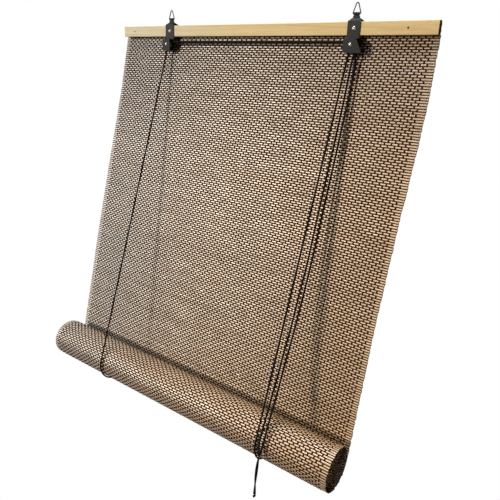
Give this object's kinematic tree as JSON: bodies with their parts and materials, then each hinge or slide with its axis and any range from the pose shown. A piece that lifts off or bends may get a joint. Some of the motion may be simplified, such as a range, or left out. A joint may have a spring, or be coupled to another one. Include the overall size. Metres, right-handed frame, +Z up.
{
  "type": "roll-up blind",
  "caption": "Woven bamboo roll-up blind, half raised: a wooden headrail with ring hangers, a pulley and a cord lock, slat mat, roll, lift cords and pull cords.",
  "frame": {"origin": "midway between the two places where the hooks bear inside the hanging rings", "axes": "+X along the headrail to the right as seen from the room, -Y towards the room, +Z up"},
  "size_m": [0.605, 0.0834, 0.7236],
  "materials": {
    "pine": "bare planed pine",
    "dark_nail": "dull",
    "charcoal_steel": "satin charcoal",
    "bright_steel": "plated",
    "ring_wire": "satin charcoal",
    "wheel_metal": "turned",
    "cam_plastic": "moulded",
    "bamboo": "stained slats, dark warp threads",
    "rod_wood": "bare",
    "black_cord": "braided"
  },
  "bodies": {
    "headrail": {"headrail_batten": "pine", "rail_nails": "dark_nail", "hanger_left": "charcoal_steel", "hanger_right": "charcoal_steel", "hanger_screws": "bright_steel", "pulley_cover": "charcoal_steel", "pulley_rivet": "bright_steel", "lock_cover": "charcoal_steel", "lock_rivet": "bright_steel", "lock_pin": "bright_steel", "mat": "bamboo", "lift_front_left": "black_cord", "lift_back_left": "black_cord", "lift_front_right": "black_cord", "lift_back_right": "black_cord", "tie_knot_left": "black_cord", "tie_knot_right": "black_cord", "transfer_cord": "black_cord", "lock_cord": "black_cord", "pull_cord_inner": "black_cord", "pull_cord_outer": "black_cord"},
    "left_ring": {"ring_left": "ring_wire"},
    "right_ring": {"ring_right": "ring_wire"},
    "left_wheel": {"pulley_wheel": "wheel_metal"},
    "right_wheel": {"lock_wheel": "wheel_metal"},
    "cam": {"lock_cam": "cam_plastic"},
    "cord_sling": {"lift_loop_left": "black_cord", "lift_loop_right": "black_cord", "join_knot": "black_cord", "pull_tail": "black_cord", "end_knot": "black_cord"},
    "rolled_mat": {"roll": "bamboo", "bottom_rod": "rod_wood"}
  },
  "joints": [
    {"name": "roll_lift", "type": "slide", "parent": "headrail", "child": "cord_sling", "axis": [0, 0, 1], "range_m": [0, 0.5], "deforming": ["mat", "lift_front_left", "lift_front_right", "lift_back_left", "lift_back_right", "pull_cord_inner", "pull_cord_outer"]},
    {"name": "roll_turn", "type": "hinge", "parent": "cord_sling", "child": "rolled_mat", "pos_m": [0, -0.01709, -0.64369], "axis": [1, 0, 0], "range_deg": [-814, 0]},
    {"name": "left_ring_swing", "type": "hinge", "parent": "headrail", "child": "left_ring", "pos_m": [-0.18, 0.00352, -0.01314], "axis": [1, 0, 0], "range_deg": [-80, 80]},
    {"name": "right_ring_swing", "type": "hinge", "parent": "headrail", "child": "right_ring", "pos_m": [0.18, 0.00352, -0.01314], "axis": [1, 0, 0], "range_deg": [-80, 80]},
    {"name": "left_wheel_turn", "type": "hinge", "parent": "headrail", "child": "left_wheel", "pos_m": [-0.18, 0.00415, -0.05604], "axis": [0, -0.9659, -0.2588], "continuous": true},
    {"name": "right_wheel_turn", "type": "hinge", "parent": "headrail", "child": "right_wheel", "pos_m": [0.1812, 0.00415, -0.05604], "axis": [0, -0.9659, -0.2588], "continuous": true},
    {"name": "cam_release", "type": "hinge", "parent": "headrail", "child": "cam", "pos_m": [0.1925, 0.00557, -0.06135], "axis": [0, -0.9659, -0.2588], "range_deg": [0, 25]}
  ],
  "couplings": [
    {"joint": "roll_turn", "follows": "roll_lift", "rad_per_m": -28.249}
  ]
}
